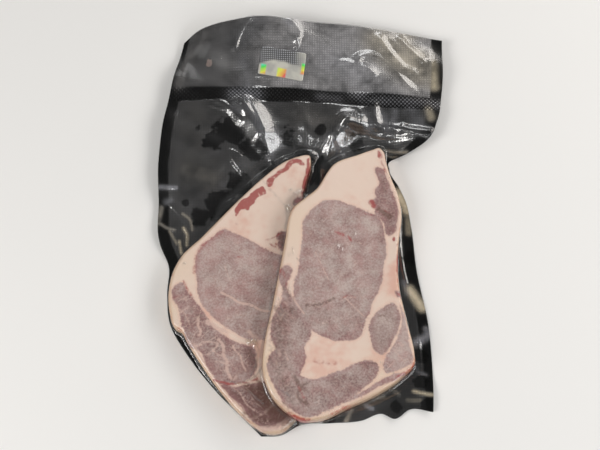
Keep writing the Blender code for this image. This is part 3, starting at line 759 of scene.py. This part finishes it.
plies = {
    "columns": 170, "rows": 250, "frontColumns": 310, "headerRows": 158, "bodyRows": 250, "headerShare": 0.66,
    "backThickness": 0.25, "frontGap": 0.1, "frontThickness": 0.09, "meanWidth": 225, "sideSeal": 9.5,
    "headerSeal": 5.0, "bandCentre": [(-114, 108), (-45, 108), (22, 104.5), (115, 98)], "bandHalf": 6.0,
    "slack": 0.5, "labelSlack": 0.68, "slackHills": [(23, 0.4, 3), (9, 0.18, 4)],  # size, height, seed
    "hump": (38, 158, 26, 1.6), "paleSpot": (-80, 136, 3.4, 1), "headerStart": (104, 116),
    "labelMargin": (0.8, 4.0),  # the slack evens out this far outside the label
    "sealTight": 0.92,  # share of the slack that a seal takes away
    "sealFade": 0.72,  # share of the front ply's look that a seal takes away
    "underMeat": 1.5,  # how far the front ply reaches in under the film over the meat
    # wet patches, where the plies cling and the black is deepest: centre, radius, strength
    "wet": [
        (-76, 65, 9, 0.8), (-60, 74, 13, 1), (-42, 58, 11, 1), (-68, 12, 13, 1), (-52, 30, 11, 0.9),
        (-84, 2, 9, 0.8), (-96, 12, 3, 1), (14, 75, 5, 1), (12, 62, 6, 0.8), (-12, 70, 9, 0.7),
        (-2, 58, 8, 0.7), (12, 42, 14, 1), (44, 65, 9, 0.8), (-28, 42, 8, 0.9), (35, 66, 3, 1),
        (-88, 77, 5, 0.5), (-104, 90, 6, 0.4), (91, -113, 6, 0.9), (90, -134, 6, 0.85), (87, -34, 7, 0.9),
        (93, -152, 6, 0.8), (70, -152, 6, 0.85), (20, -162, 5, 0.8)],
    # dry patches of haze where the plies lie apart, also painted sheen and highlights: half width, strength,
    # warmth of the painted sheen, points
    "headerHazyAndSheen": 0.95, "lowerHazyAndSheen": 0.16,
    "hazyAndSheen": [
        (12, 2.8, 1, (66, 158), (76, 144), (96, 128)), (9, 2.6, 1, (88, 160), (100, 144)),
        (13, 2.5, 0.1, (28, 138), (48, 122)), (5, 2.2, 0.1, (96, 158), (104, 152)),
        (6, 1, 0.2, (84, 118), (98, 110)), (5, 0.9, 0, (30, 135), (46, 132)),
        (5, 0.8, 0, (-50, 134), (-46, 114)), (8, 0.5, 0, (-40, 168), (-54, 152)),
        (6, 0.7, 0.3, (-84, 163), (-98, 140), (-104, 118)), (6, 0.7, 0, (-44, 96), (-36, 78), (-27, 54)),
        (7, 0.8, 0, (-28, 74), (-22, 64)), (4, 0.5, 0, (-58, 96), (-52, 90)), (5, 1, 0, (22, 68), (36, 55)),
        (1.6, 0.6, 0, (26, 75), (44, 73)), (5, 0.6, 0, (52, 88), (54, 78)), (6, 0.6, 0, (64, 90), (70, 78)),
        (4, 0.6, 0, (76, 92), (74, 78)), (8, 0.5, 0, (90, 92), (96, 78)), (12, 0.3, 0.5, (0, 88), (22, 80)),
        (7, 1, 0, (-57, 107), (-41, 107)), (5, 0.4, 0, (14, 105), (30, 104)),
        (5, 0.5, 0, (50, 103), (112, 99)), (6, 0.2, 0.2, (-104, 90), (-104, 10)),
        (14, 0.16, 0.6, (-92, 84), (-84, 50)), (9, 0.3, 0.7, (-96, 40), (-74, 34)),
        (4, 0.25, 0, (-80, 52), (-70, 55)), (4, 0.4, 0, (-66, 28), (-58, 30)),
        (3, 0.7, 0, (-45, 29), (-38, 26)), (1.8, 1.9, 0, (-117, 25), (-104, 24)),
        (1.2, 1, 0.8, (-98, 3), (-92, -2), (-90, -10)), (1.1, 1.2, 0.9, (-108, -12), (-102, -22)),
        (2.2, 1.3, 0.6, (-116, 8), (-118, -6)), (1.2, 1.4, 0.6, (-118, -4), (-111, -9), (-104, -11)),
        (1.3, 2.3, 1, (-97, -9), (-94, -15), (-94, -23)), (1.2, 2.3, 1, (-100, -20), (-98, -30)),
        (3, 0.8, 0, (-112, 13), (-108, 14)), (3.5, 5, 1, (77, 22), (81, 15), (84, 6)),
        (3, 1.2, 1, (85, 2), (85, -12)), (2.2, 1.3, 0, (80, -54), (82, -63)),
        (3, 5, 1, (84, -60), (88, -67), (93, -75)), (3, 2, 0, (87, -103), (93, -100), (97, -96)),
        (2.2, 1.5, 0, (95, -92), (98, -98)), (1.4, 2.2, 1, (84, -141), (92, -143), (99, -144)),
        (1.6, 1, 0.8, (79, -148), (88, -148)), (1.6, 0.6, 0.6, (67, -139), (72, -143)),
        (1.4, 0.9, 0.8, (52, -146), (61, -145)), (1.6, 1.8, 0, (47, -152), (52, -154)),
        (1.8, 1.8, 0.7, (32, -163), (36, -155)), (1.5, 0.7, 0, (86, -122), (88, -126), (94, -128)),
        (1.3, 1.8, 0.8, (63, 61), (70, 60), (78, 58), (85, 57)), (1, 1.4, 0.8, (66, 58), (71, 55), (78, 54)),
        (2.5, 1.2, 0, (98, 159), (104, 156)), (4, 2.4, 1, (109, 138), (110, 116)),
        (3.5, 1.4, 1, (104, 94), (106, 86)), (3, 1.4, 0, (-14, 170), (-12, 168)),
        (3.5, 2.2, 0, (-8, 141), (-2, 140))],
    # creases of the front ply: width of the flank to the left of its travel, to the right, height, points
    "creases": [
        (2.6, 4, 2.1, (-38, 174), (-47, 169), (-52, 162), (-56, 152), (-59, 140)),
        (3.2, 2.5, 1.15, (-14, 174), (-8, 168), (-4, 162), (-4, 156), (-8, 150)),
        (4.5, 3, 1.9, (-7, 155), (-6, 149), (-8, 143)),
        (6, 5, 2.8, (62, 166), (66, 156), (71, 147), (77, 139), (83, 132), (91, 128), (102, 124)),
        (5, 3, 2.1, (80, 166), (86, 155), (92, 148), (98, 141), (105, 135)),
        (6, 3, 2.3, (42, 129), (48, 140), (55, 143), (63, 141), (71, 135), (79, 126), (86, 117), (99, 106)),
        (4, 3, 1.3, (28, 134), (36, 135), (44, 131)),
        (5, 2, 1.5, (46, 131), (53, 130), (58, 125), (61, 121)),
        (5, 5, 0.3, (-84, 163), (-92, 150), (-99, 135), (-104, 118)), (2, 1.5, 0.4, (3, 130), (10, 136)),
        (2, 2, 0.5, (-80, 98), (-72, 95), (-64, 92)), (3, 2, 0.6, (-60, 101), (-55, 95), (-50, 88)),
        (14, 2.2, 1.3, (-46, 103), (-39, 91), (-35, 79), (-31, 64), (-27, 51), (-21, 41)),
        (3, 5, 1.6, (-76, 104), (-66, 98), (-57, 89), (-50, 78)),
        (3, 4, 1.5, (-64, 105), (-55, 97), (-47, 86)), (2.5, 3, 1.1, (-55, 104), (-48, 96), (-43, 87)),
        (2, 2, 0.5, (0, 98), (16, 96)), (2, 2, 0.9, (22, 73), (16, 64), (8, 54)),
        (9, 2.5, 1.2, (21, 73), (29, 63), (39, 51)), (1.5, 2, 0.7, (26, 75), (35, 75), (44, 72)),
        (7, 1.5, 1, (45, 97), (49, 87), (48, 79), (51, 72)),
        (3, 2, 0.8, (50, 76), (60, 72), (74, 70), (88, 68), (97, 67), (108, 75)),
        (3, 1.5, 0.6, (75, 95), (73, 84), (72, 75)), (2, 3, 0.6, (78, 71), (84, 82), (93, 91)),
        (2, 2, 0.7, (60, 60), (72, 58), (84, 54)), (1.5, 1.5, 0.6, (-64, 58), (-56, 55), (-50, 51)),
        (1.5, 1.5, 0.7, (-63, 53), (-56, 43), (-45, 32)), (1.5, 1.5, 0.6, (-48, 28), (-37, 29)),
        (1.6, 1.6, 0.7, (-21, 41), (-18, 50), (-8, 56), (2, 57)), (1.5, 1.5, 0.6, (-118, 25), (-103, 24)),
        (1.6, 1.6, 0.7, (-113, 15), (-103, 5), (-97, -3), (-91, -9)),
        (2, 2, 0.8, (-118, -3), (-108, -10), (-99, -13)), (1.6, 1.6, 0.7, (-98, -8), (-92, -25)),
        (1.6, 1.6, 0.5, (-100, -18), (-98, -31)), (1.6, 1.6, 0.7, (78, -2), (77, -20), (79, -42), (83, -61)),
        (4, 3, 0.8, (88, -61), (92, -78), (93, -93)), (3, 3, 0.7, (96, -95), (88, -109)),
        (2, 2, 0.7, (84, -142), (99, -146)), (2, 2, 0.6, (83, -153), (96, -156)),
        (2.5, 2.5, 0.6, (79, -140), (62, -149), (39, -158))],
}


# creases like a tent: flanks of even slope, each with its own width, a rounded ridge, both ends let down
def creaseField(x, y, creases):
    rise = np.zeros(np.shape(x))
    for left, right, height, *points in creases:
        line = openCurve(points)
        nearest, width, along = np.full(np.shape(x), np.inf), left, 0
        for k, (away, share, side) in enumerate(partDistances(x, y, line)):
            closer = away < nearest
            width = np.where(closer, np.where(side > 0, left, right), width)
            along = np.where(closer, (k + share) / (len(line) - 1), along)
            nearest = np.minimum(nearest, away)
        tent = 1.06 - np.hypot(nearest / width, 0.3)
        ends = smoothStep(0, 0.16, along) * smoothStep(1, 0.84, along)
        rise = rise + height * ends * 0.5 * (tent + np.hypot(tent, 0.12))
    return rise


# a point's place on the label, across it and up it
def onLabel(x, y):
    turn = np.radians(sticker["turn"])
    dx, dy = x - sticker["centre"][0], y - sticker["centre"][1]
    return dx * np.cos(turn) + dy * np.sin(turn), dy * np.cos(turn) - dx * np.sin(turn)


# the front ply's slack over the back one: hills, a hump and creases, less at the seals, even under the label
def filmSlack(x, y, seal):
    slack = plies["slack"] + creaseField(x, y, plies["creases"])
    for size, height, seed in plies["slackHills"]:
        slack = slack + height * hills(x, y, size, seed)
    cx, cy, radius, height = plies["hump"]
    slack = np.maximum(slack + height * bell(np.hypot(x - cx, y - cy), radius), 0.05)
    across, up = onLabel(x, y)
    outside = np.maximum(np.abs(across) - sticker["width"] / 2, np.abs(up) - sticker["height"] / 2)
    underLabel = 1 - smoothStep(*plies["labelMargin"], outside)
    return between(slack, plies["labelSlack"], underLabel) * (1 - plies["sealTight"] * seal)


# what the bag's surface knows: seals, the hatched band, wet patches, and dry patches of haze and painted
# sheen
def sheetFields(x, y, u):
    fromSide = np.minimum(u, 1 - u) * plies["meanWidth"] - plies["sideSeal"]
    # the left side seal narrows up the header
    fromSide = fromSide + (plies["sideSeal"] - plies["headerSeal"]) * smoothStep(110, 150, y) * (x < 0)
    band = np.abs(y - valueAlong(*np.array(plies["bandCentre"]).T, x)) - plies["bandHalf"]
    band, side = 1 - smoothStep(-0.6, 0.6, band), 1 - smoothStep(-0.6, 0.6, fromSide)
    seal = np.maximum(band, side)
    # the plies lie apart more to the right of the header, and hardly at the lower right; the haze there is
    # also painted sheen
    headerHazyAndSheenLevel = plies["headerHazyAndSheen"] * (0.4 + 1.7 * smoothStep(-65, 0, x))
    lowerHazyAndSheen = plies["lowerHazyAndSheen"] * (1 - 0.9 * smoothStep(50, 70, x) * smoothStep(65, 45, y))
    hazyAndSheen = between(lowerHazyAndSheen, headerHazyAndSheenLevel, smoothStep(*plies["headerStart"], y + 0.05 * x)) * (1 - seal)
    weights = hazyAndSheen + 0.05
    creamSheen = 0.2 * weights
    for halfWidth, strength, creamOfSheen, *points in plies["hazyAndSheen"]:
        patch = lineField(x, y, [(halfWidth, strength, *points)])
        weights, creamSheen = weights + patch, creamSheen + patch * creamOfSheen
        hazyAndSheen = np.maximum(hazyAndSheen, patch)
    return {
        "seal": seal, "flat": np.maximum(band, 1 - smoothStep(-3, 3, fromSide)), "band": band, "hazyAndSheen": hazyAndSheen,
        "creamSheen": creamSheen / weights, "wet": spotField(x, y, plies["wet"]),
        "spot": spotField(x, y, [plies["paleSpot"]]),
    }


# height of the front ply at any place, lower where it is sealed flat
def frontHeight(x, y, flat=0):
    gap = plies["backThickness"] + plies["frontGap"] + plies["frontThickness"]
    return sheetHeight(x, y, besideMeat(x, y)) + gap + filmSlack(x, y, flat)


# the clear ply over part of the bag's grid, without the places that lie under the meat
def frontPly(name, u, v, clear):
    x, y = sheetPlaces(u, v)
    fields = sheetFields(x, y, u)
    fields["cover"] = 1 - plies["sealFade"] * fields["seal"] * (1 - np.clip(1.6 * fields["hazyAndSheen"], 0, 1))
    fields["emboss"] = 1 - fields["seal"]
    front = np.minimum(frontHeight(x, y, fields["flat"]), bag["highest"])
    faces = gridFaces(*x.shape)
    faces = faces[(besideMeat(x, y).ravel()[faces] > -plies["underMeat"]).any(axis=1)]
    used, faces = np.unique(faces, return_inverse=True)
    points = np.stack([x, y, front], -1).reshape(-1, 3)[used]
    values = {key: np.ravel(fields[key])[used] for key in ("band", "emboss", "hazyAndSheen", "wet", "creamSheen", "cover")}
    return addSolidify(makePiece(name, points, faces.reshape(-1, 4), clear, values), plies["frontThickness"])


def makePlies(black, clear):
    u, v = np.meshgrid(np.linspace(0, 1, plies["columns"]), np.linspace(0, 1, plies["rows"]))
    x, y = sheetPlaces(u, v)
    fields = sheetFields(x, y, u)
    low = sheetHeight(x, y, besideMeat(x, y))
    values = {key: fields[key] for key in ("wet", "seal", "spot")}
    back = makeSlab("pouch_back", x, y, low, low + plies["backThickness"], black, values)
    across, share = np.linspace(0, 1, plies["frontColumns"]), plies["headerShare"]
    headerGrid = np.meshgrid(across, np.linspace(share, 1, plies["headerRows"]))
    bodyGrid = np.meshgrid(across, np.linspace(0, share, plies["bodyRows"]))
    header = frontPly("pouch_front_header", *headerGrid, clear)
    return back, header, frontPly("pouch_front_body", *bodyGrid, clear)


# the film drawn over the meat
skirts = {
    "gap": 0.28, "rings": 22, "topRings": 84, "around": 400, "sideReach": 2.6, "headerReach": 17.0,
    "sideStart": 0.3, "headerStart": 0.8, "pleatHeight": 0.35, "pleatLength": 15.0,
    "reachVaries": 0.3, "leastReach": 0.6,
    "edgeRoom": 0.8,  # how far the film stays inside the bag's edge
    "landing": 0.06,  # how far it lies above what is below it
    # small peaks where the film stands off the meat: centre, radius, height
    "peaks": [
        (-41, -106, 2.6, 1.8), (-37.5, -109, 2, 1.3), (-12, 4, 1.9, 1.2), (-11, 18.5, 1.7, 1),
        (-8, 16, 1.5, 0.9), (-11.5, -40, 1.7, 1), (26.5, -31.5, 1.9, 1), (29.5, -33, 1.5, 0.8),
        (-96, -40, 1.6, 0.9), (-93, -43, 1.5, 0.9), (40, -20, 1.5, 0.7), (-19, -84, 1.6, 0.8),
        (-20, -116, 1.6, 0.8), (-13, -154, 1.8, 0.9), (24, -150, 1.5, 0.7)],
    # creases of the film where it lies on the meat, as the front ply's
    "leftCreases": [
        (1, 1, 0.36, (-36, 38), (-35, 31), (-29, 21), (-21, 12), (-13, 2), (-9, -3)),
        (1.2, 1.2, 0.5, (-54, -139), (-41, -135), (-34, -129), (-31, -123)),
        (1.2, 1.2, 0.5, (-35, -116), (-37, -125), (-41, -134)),
        (1.6, 1.6, 1.1, (-44, -103), (-42, -107), (-38, -105), (-37, -109)),
        (1.2, 1.2, 0.5, (-38, -104), (-35, -112), (-37, -122)), (1.2, 1.2, 0.25, (-65, -29), (-59, -47)),
        (1.2, 1.2, 0.5, (-99, -38), (-96, -41)), (1.2, 1.2, 0.5, (-95, -43), (-92, -44)),
        (1.3, 1.3, 0.8, (-14, 6), (-12, 2), (-11, 0)), (1.3, 1.3, 0.7, (-12, 19), (-10, 18)),
        (1.2, 1.2, 0.4, (-44, -142), (-34, -150), (-29, -154)), (1.2, 1.2, 0.4, (-60, -135), (-46, -139))],
    "rightCreases": [
        (1.2, 1.2, 0.5, (-9, -33), (-8, -41)), (1.2, 1.2, 0.4, (-6, -42), (-3, -46)),
        (1.2, 1.2, 0.35, (-20, -73), (-16, -87)), (1.2, 1.2, 0.3, (-12, -77), (-8, -89)),
        (1.2, 1.2, 0.2, (22, -28), (34, -32)), (1.2, 1.2, 0.2, (30, -36), (40, -39)),
        (1.3, 1.3, 0.35, (-22, -142), (-8, -150)), (1.3, 1.3, 0.35, (56, -120), (70, -132)),
        (1.3, 1.3, 0.25, (-18, -110), (-6, -128))],
}


# film height over the left steak alone: its top, its rounded edge, and a curve down to the sheet outside
def leftFilmHeight(x, y):
    outside, sheet = distanceOutside(x, y, coarseLeft), frontHeight(x, y)
    top, r = leftTop(x, y) - meat["underFilm"] + skirts["gap"], steakGrid["roundTop"]
    inside = top - r * (1 - np.sqrt(1 - np.clip(1 + outside / r, 0, 1) ** 2))
    fall = between(sheet, 0.6 * top, np.clip(1 - outside / skirts["sideReach"], 0, 1) ** 3)
    return np.where(outside < 0, inside, fall)


# how far the film stands off the meat: creases, and peaks that are cones with a soft tip
def standOff(x, y, creases):
    rise = creaseField(x, y, creases)
    for cx, cy, radius, height in skirts["peaks"]:
        away = np.hypot(np.hypot(x - cx, y - cy), 0.15 * radius)
        rise = rise + height * np.clip(1.1 - away / radius, 0, 1)
    return rise


# The film follows the meat's top and rounded edge, leaves the wall part way down and curves out below it:
# height = below + (leaving height - below) (1 - t)^p, t from 0 at the wall to 1 at the end of its reach.
def makeSkin(name, steak, creases, below, clear, hiddenBy=None):
    s, r, count, seed = skirts, steakGrid["roundTop"], skirts["around"], steak["seed"]
    knots = np.arange(len(steak["outline"]) + 1)
    share = np.linspace(0, knots[-1], count, endpoint=False)
    axes = [np.interp(share, knots, np.append(axis, axis[0])) for axis in steak["outline"].T]
    outline = np.stack(axes, axis=1)
    centre = np.array(steak["centre"], float)
    out = outline - centre
    reach = lengths(out)
    tangent = np.roll(outline, -6, 0) - np.roll(outline, 6, 0)
    normal = tangent[:, ::-1] * (-1, 1) / lengths(tangent)
    around = np.arange(count) / count * np.sum(lengths(np.diff(outline, axis=0)))
    # 1 where the wall faces the header
    header = smoothStep(0.25, 0.9, normal[:, 1]) * smoothStep(-30, 10, outline[:, 1])
    far = between(s["sideReach"], s["headerReach"], header)
    far = far * (1 + s["reachVaries"] * hills(around, 0 * around, 14, seed + 5))
    room = -distanceOutside(*outline.T, bagOutline) - s["edgeRoom"]
    far = np.clip(far, s["leastReach"], np.maximum(room, s["leastReach"]))
    rows, covers, clings = [], [], []

    def addRow(place, height, cover=1.0, cling=1.0):
        rows.append(np.column_stack([place, height]))
        covers.append(cover)
        clings.append(cling)

    def topOf(place):
        return steak["top"](*place.T) - meat["underFilm"] + s["gap"] + standOff(*place.T, creases)

    for inward in 1 - np.arange(1, s["topRings"]) / s["topRings"]:
        place = centre + out * (1 - r * (1 - inward) / reach) * (1 - inward)
        addRow(place, topOf(place))
    for turn in np.linspace(0, np.pi / 2, 9):
        place = centre + out * (1 - (r * (1 - np.sin(turn)) - s["gap"]) / reach)
        addRow(place, topOf(place) - r * (1 - np.cos(turn)))
    wall, wallTop = centre + out * (1 + s["gap"] / reach), rows[-1][:, 2]
    ground = below(*wall.T)
    start = between(s["sideStart"], s["headerStart"], header)
    leave = np.minimum(between(ground, wallTop, start), wallTop - 0.5)
    for k in range(1, 6):
        addRow(wall, between(wallTop, leave, k / 6))
    pleats = np.sin(2 * np.pi * around / s["pleatLength"] + 3 * hills(around, 0 * around, 30, 5))
    for t in np.linspace(0, 1, s["rings"] + 1):
        place = wall + normal * far[:, None] * t**1.3
        land = below(*place.T) + s["landing"]
        pleat = s["pleatHeight"] * pleats * header * np.sin(np.pi * t) ** 2
        height = land + (leave - ground) * (1 - t**1.3) ** (3.2 - header) + pleat
        addRow(place, np.maximum(height, land), 1 - smoothStep(0.75, 1, t), 1 - smoothStep(0, 0.45, t))

    points = np.concatenate(rows + [np.column_stack([centre[None], topOf(centre[None])])])
    points[:, 2] = np.minimum(points[:, 2], bag["highest"])
    cover, cling = (np.append(np.repeat(each, count), 1) for each in (covers, clings))
    cling = cling * (1 - 0.9 * smoothStep(0.1, 0.4, standOff(*points[:, :2].T, creases)))
    triangles = ringFaces(len(rows), count, 1)
    if hiddenBy is not None:
        hidden = distanceOutside(*points[:, :2].T, hiddenBy) < -0.5
        triangles = triangles[~hidden[triangles].any(axis=1)]
    used, triangles = np.unique(triangles, return_inverse=True)
    folded = smoothStep(0.12, 0.45, creaseField(*points[used, :2].T, creases))
    # the veil along the film's creases on the meat is haze and painted sheen, tinted cream
    values = {"cover": cover[used], "cling": cling[used], "hazyAndSheen": 1.5 * folded, "creamSheen": folded}
    skin = makePiece(name, points[used], triangles.reshape(-1, 3), clear, values)
    return addSolidify(skin, plies["frontThickness"])


# a square-cornered grid pulled in to a rounded rectangle, following the header's swell
def makeSticker(material):
    s = sticker
    heights = np.linspace(-1, 1, s["rows"]) * s["height"] / 2
    across, up = np.meshgrid(np.linspace(-1, 1, s["columns"]), heights)
    intoCorner = np.clip((np.abs(up) - s["height"] / 2) / s["corner"] + 1, 0, 1)
    across = across * (s["width"] / 2 - s["corner"] * (1 - np.sqrt(1 - intoCorner**2)))
    turn = np.radians(s["turn"])
    x = s["centre"][0] + across * np.cos(turn) - up * np.sin(turn)
    y = s["centre"][1] + across * np.sin(turn) + up * np.cos(turn)
    low = sheetHeight(x, y, besideMeat(x, y)) + s["low"]
    arch = 2.5 - 0.012 * (across - 4) ** 2 + 1.2 * hills(across, up, 7, 31)
    # shade: a painted dark reflection over the top, faded out to the right where the corner's glare is left
    # light as a painted highlight
    shade = 0.9 * smoothStep(-1.2, 1.2, up - arch) * smoothStep(19, 8, across)
    bars, hues = 0 * across, 0 * across
    for (cx, cy), halfWidth, halfHeight, hue, right, rise in s["rainbow"]:
        away = np.maximum(np.abs(across - cx) / halfWidth, np.abs(up - cy) / halfHeight)
        bar = 1 - smoothStep(0.75, 1.1, away)
        hues = np.where(bar > bars, hue + right * (across - cx) + rise * (up - cy), hues)
        bars = np.maximum(bars, 0.9 * bar)
    values = {"shade": shade, "rainbow": bars, "hue": hues}
    return makeSlab("label_foil", x, y, low, low + s["thickness"], material, values)


zeroToOne, none = np.linspace(0, 1, 60), np.zeros(60)
bagOutline = np.concatenate([np.stack(sheetPlaces(u, v), 1)[:-1] for u, v in (
    (zeroToOne, none), (none + 1, zeroToOne), (1 - zeroToOne, none + 1), (none, 1 - zeroToOne))])

beef, black, clear, foil = rawBeef(), blackPly(), clearFilm(), labelFoil()
left = makeSteak("ribeye_left", leftSteak, beef)
right = makeSteak("ribeye_right", rightSteak, beef)
print("steaks made")
back, *fronts = makePlies(black, clear)
print("plies made")
leftSkin = makeSkin("film_over_left", leftSteak, skirts["leftCreases"], frontHeight, clear, rightOutline)
rightSkin = makeSkin("film_over_right", rightSteak, skirts["rightCreases"],
                     lambda x, y: np.maximum(frontHeight(x, y), leftFilmHeight(x, y)), clear)
print("film drawn over the meat")
label = makeSticker(foil)

for piece, node, slot in ((left, "steak_left", "meat"), (right, "steak_right", "meat"),
                          (back, "pouch", "film"), (label, "label", "foil")):
    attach(piece, "root")
    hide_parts(node)
for piece in (*fronts, leftSkin, rightSkin):
    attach(piece, "root")


studio = {
    "floorSize": 6000, "floorBelow": 0.3, "world": 0.12, "distance": 1.5,
    # softboxes: tilt and compass turn (0 is +x, 90 is +y) of the film that mirrors each to the camera, then
    # size, watts, colour; none is mirrored by film that lies flat
    "softboxes": [
        (28.4, 34, 0.7, 5.2, "#fffaf4"), (27.5, 0, 0.66, 4.5, "#fffaf4"), (32, 329.5, 0.56, 3.8, "#ffffff"),
        (36.3, 308, 0.585, 5, "#ffffff"), (20, 120, 0.4, 0.35, "#ffffff"), (23, 77, 0.45, 2.6, "#ffffff"),
        (31, 185, 0.4, 0.12, "#ffffff"), (23, 252, 0.22, 0.8, "#ffffff"), (29, 276, 0.2, 0.6, "#ffffff"),
        (32.5, 225, 0.7, 12.5, "#fffdfa")],
    "camera": (-0.003, -0.2826, 0.7618), "lookAt": (-0.003, -0.009, 0.010), "lens": 60,
}


def aim(thing, place, target):
    thing.location = place
    thing.rotation_euler = (Vector(target) - Vector(place)).to_track_quat("-Z", "Y").to_euler()
    bpy.context.scene.collection.objects.link(thing)


# where the camera's line of sight goes from film tilted this way: 2 (v . n) n - v
def mirroredPlace(tilt, turn):
    tilt, turn = np.radians(tilt), np.radians(turn)
    sight = np.array(studio["camera"]) - studio["lookAt"]
    sight = sight / np.linalg.norm(sight)
    normal = np.array([np.sin(tilt) * np.cos(turn), np.sin(tilt) * np.sin(turn), np.cos(tilt)])
    return tuple(studio["distance"] * (2 * sight.dot(normal) * normal - sight))


def makeStudio():
    corners = np.array([(-1, -1, 0), (1, -1, 0), (1, 1, 0), (-1, 1, 0)]) * studio["floorSize"] / 2
    floor = makePiece("floor", corners - (0, 0, studio["floorBelow"]), [[0, 1, 2, 3]], paleFloor())
    for k, (tilt, turn, size, watts, tint) in enumerate(studio["softboxes"]):
        lamp = bpy.data.lights.new(f"softbox{k}", "AREA")
        lamp.size = size
        lamp.energy, lamp.color = watts, hexColour(tint)[:3]
        aim(bpy.data.objects.new(f"softbox{k}", lamp), mirroredPlace(tilt, turn), (0, 0, 0))
    world = bpy.data.worlds.new("studio")
    world.use_nodes = True
    background = world.node_tree.nodes["Background"].inputs
    background["Color"].default_value = (1, 1, 1, 1)
    background["Strength"].default_value = studio["world"]
    bpy.context.scene.world = world
    camera = bpy.data.cameras.new("camera")
    camera.lens = studio["lens"]
    eye = bpy.data.objects.new("camera", camera)
    aim(eye, studio["camera"], studio["lookAt"])
    bpy.context.scene.camera = eye
    bpy.context.scene.view_settings.view_transform = "Standard"


makeStudio()
print("studio set")

bpy.context.view_layer.update()
